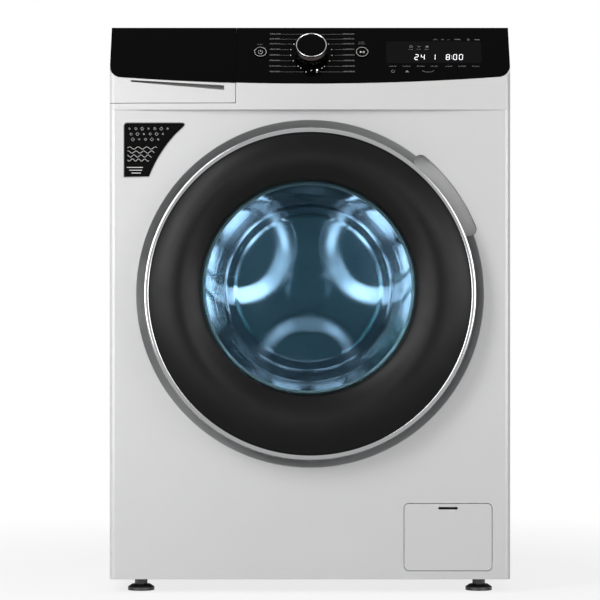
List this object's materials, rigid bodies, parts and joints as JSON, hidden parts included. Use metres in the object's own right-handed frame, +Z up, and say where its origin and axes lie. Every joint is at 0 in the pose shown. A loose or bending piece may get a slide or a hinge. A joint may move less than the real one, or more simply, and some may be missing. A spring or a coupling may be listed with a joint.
{
  "type": "front load washing machine",
  "caption": "White free-standing front load washing machine with a round chrome-ringed door, black sloping fascia, programme knob, detergent drawer and service hatch.",
  "frame": {"origin": "floor under the middle of the machine's box: floor plane, middle of the width, middle of the depth with door and water connections", "axes": "+Z up, +Y towards the back, +X to the right as seen from the front; the door faces -Y"},
  "size_m": [0.6, 0.6, 0.85],
  "materials": {
    "white_steel": "smooth white enamel",
    "white_plastic": "satin white moulding",
    "black_gloss": "glossy black",
    "chrome_trim": "bright chrome",
    "door_glass": "clear, faintly blue",
    "stainless": "polished stainless sheet",
    "zinc_steel": "zinc plated",
    "spring_steel": "oiled spring wire",
    "cast_alloy": "as cast",
    "tub_plastic": "filled polypropylene",
    "grey_plastic": "grained dark grey",
    "black_plastic": "grained black",
    "clear_plastic": "pale polypropylene",
    "blue_plastic": "blue moulding",
    "seal_rubber": "soft grey rubber",
    "hose_rubber": "black rubber",
    "belt_rubber": "ribbed black rubber",
    "concrete": "cast concrete",
    "board_green": "circuit board with components",
    "copper_iron": "laminated iron and windings"
  },
  "bodies": {
    "root": {"side_panel_left": "white_steel", "side_panel_right": "white_steel", "rear_panel": "zinc_steel", "rear_cover": "zinc_steel", "front_panel": "white_steel", "base_frame": "grey_plastic", "top_plate": "white_plastic", "rear_rail": "zinc_steel", "control_panel": "white_plastic", "control_fascia": "black_gloss", "control_board": "board_green", "dispenser_housing": "tub_plastic", "inlet_valve": "white_plastic", "inlet_hose": "hose_rubber", "fill_hose": "hose_rubber", "door_seal": "seal_rubber", "hinge_bracket": "zinc_steel", "door_lock": "black_plastic", "drain_pump": "grey_plastic", "sump_hose": "hose_rubber", "drain_hose": "grey_plastic", "drain_outlet": "black_plastic", "cable_gland": "black_plastic", "cabinet_screws": "zinc_steel", "damper_cylinders": "grey_plastic", "suspension_springs": "spring_steel"},
    "tub": {"tub_front": "tub_plastic", "tub_rear": "tub_plastic", "front_counterweight": "concrete", "top_counterweight": "concrete", "heater": "stainless", "motor_body": "copper_iron", "damper_rods": "zinc_steel", "drum_bearings": "zinc_steel", "drive_belt": "belt_rubber"},
    "drum": {"drum_shell": "stainless", "drum_back": "stainless", "drum_lifters": "stainless", "drum_spider": "cast_alloy", "drum_pulley": "cast_alloy"},
    "rotor": {"motor_rotor": "copper_iron"},
    "door": {"door_ring": "chrome_trim", "door_cover": "black_gloss", "door_glass": "door_glass", "door_liner": "black_plastic", "door_hinge": "zinc_steel"},
    "latch": {"door_latch": "grey_plastic"},
    "knob": {"programme_knob": "chrome_trim"},
    "power_key": {"power_button": "black_gloss"},
    "start_key": {"start_button": "black_gloss"},
    "drawer": {"drawer_front": "white_plastic", "detergent_tray": "clear_plastic", "softener_cap": "blue_plastic"},
    "release_catch": {"drawer_release": "blue_plastic"},
    "hatch": {"service_hatch": "white_plastic"},
    "filter": {"pump_filter": "grey_plastic"},
    "foot_fl": {"foot_front_left": "black_plastic"},
    "foot_fr": {"foot_front_right": "black_plastic"},
    "foot_rl": {"foot_rear_left": "black_plastic"},
    "foot_rr": {"foot_rear_right": "black_plastic"}
  },
  "joints": [
    {"name": "tub_bounce", "type": "slide", "parent": "root", "child": "tub", "axis": [0, 0, 1], "range_m": [-0.01, 0.008], "stiffness_N_per_m": 6000, "springref_m": 0.0585, "deforming": ["suspension_springs", "fill_hose", "sump_hose", "door_seal"]},
    {"name": "drum_spin", "type": "hinge", "parent": "tub", "child": "drum", "pos_m": [-0.002, 0, 0.456], "axis": [0, 1, 0], "continuous": true},
    {"name": "motor_spin", "type": "hinge", "parent": "tub", "child": "rotor", "pos_m": [-0.107, 0.08, 0.13262], "axis": [0, 1, 0], "continuous": true},
    {"name": "door_swing", "type": "hinge", "parent": "root", "child": "door", "pos_m": [-0.232, -0.27, 0.447], "axis": [0, 0, -1], "range_deg": [0, 110]},
    {"name": "latch_hook", "type": "hinge", "parent": "door", "child": "latch", "pos_m": [0.203, -0.258, 0.447], "axis": [0, 0, 1], "range_deg": [0, 5], "stiffness_Nm_per_rad": 0.3},
    {"name": "knob_turn", "type": "hinge", "parent": "root", "child": "knob", "pos_m": [0.002, -0.23649, 0.806], "axis": [0, -0.8192, 0.5736], "continuous": true},
    {"name": "power_press", "type": "slide", "parent": "root", "child": "power_key", "axis": [0, 0.8192, -0.5736], "range_m": [0, 0.0015], "stiffness_N_per_m": 600},
    {"name": "start_press", "type": "slide", "parent": "root", "child": "start_key", "axis": [0, 0.8192, -0.5736], "range_m": [0, 0.0015], "stiffness_N_per_m": 600},
    {"name": "drawer_slide", "type": "slide", "parent": "root", "child": "drawer", "axis": [0, -1, 0], "range_m": [0, 0.2]},
    {"name": "release_press", "type": "slide", "parent": "drawer", "child": "release_catch", "axis": [0, 0, -1], "range_m": [0, 0.003], "stiffness_N_per_m": 500},
    {"name": "hatch_swing", "type": "hinge", "parent": "root", "child": "hatch", "pos_m": [0.2065, -0.258, 0.041], "axis": [1, 0, 0], "range_deg": [0, 100]},
    {"name": "filter_turn", "type": "hinge", "parent": "root", "child": "filter", "pos_m": [0.2065, -0.2, 0.075], "axis": [0, -1, 0], "range_deg": [0, 270]},
    {"name": "foot_turn_fl", "type": "hinge", "parent": "root", "child": "foot_fl", "pos_m": [-0.255, -0.215, 0.02], "axis": [0, 0, 1], "continuous": true},
    {"name": "foot_turn_fr", "type": "hinge", "parent": "root", "child": "foot_fr", "pos_m": [0.255, -0.215, 0.02], "axis": [0, 0, 1], "continuous": true},
    {"name": "foot_turn_rl", "type": "hinge", "parent": "root", "child": "foot_rl", "pos_m": [-0.255, 0.235, 0.02], "axis": [0, 0, 1], "continuous": true},
    {"name": "foot_turn_rr", "type": "hinge", "parent": "root", "child": "foot_rr", "pos_m": [0.255, 0.235, 0.02], "axis": [0, 0, 1], "continuous": true}
  ],
  "couplings": [
    {"joint": "motor_spin", "follows": "drum_spin", "ratio": 11.667}
  ]
}
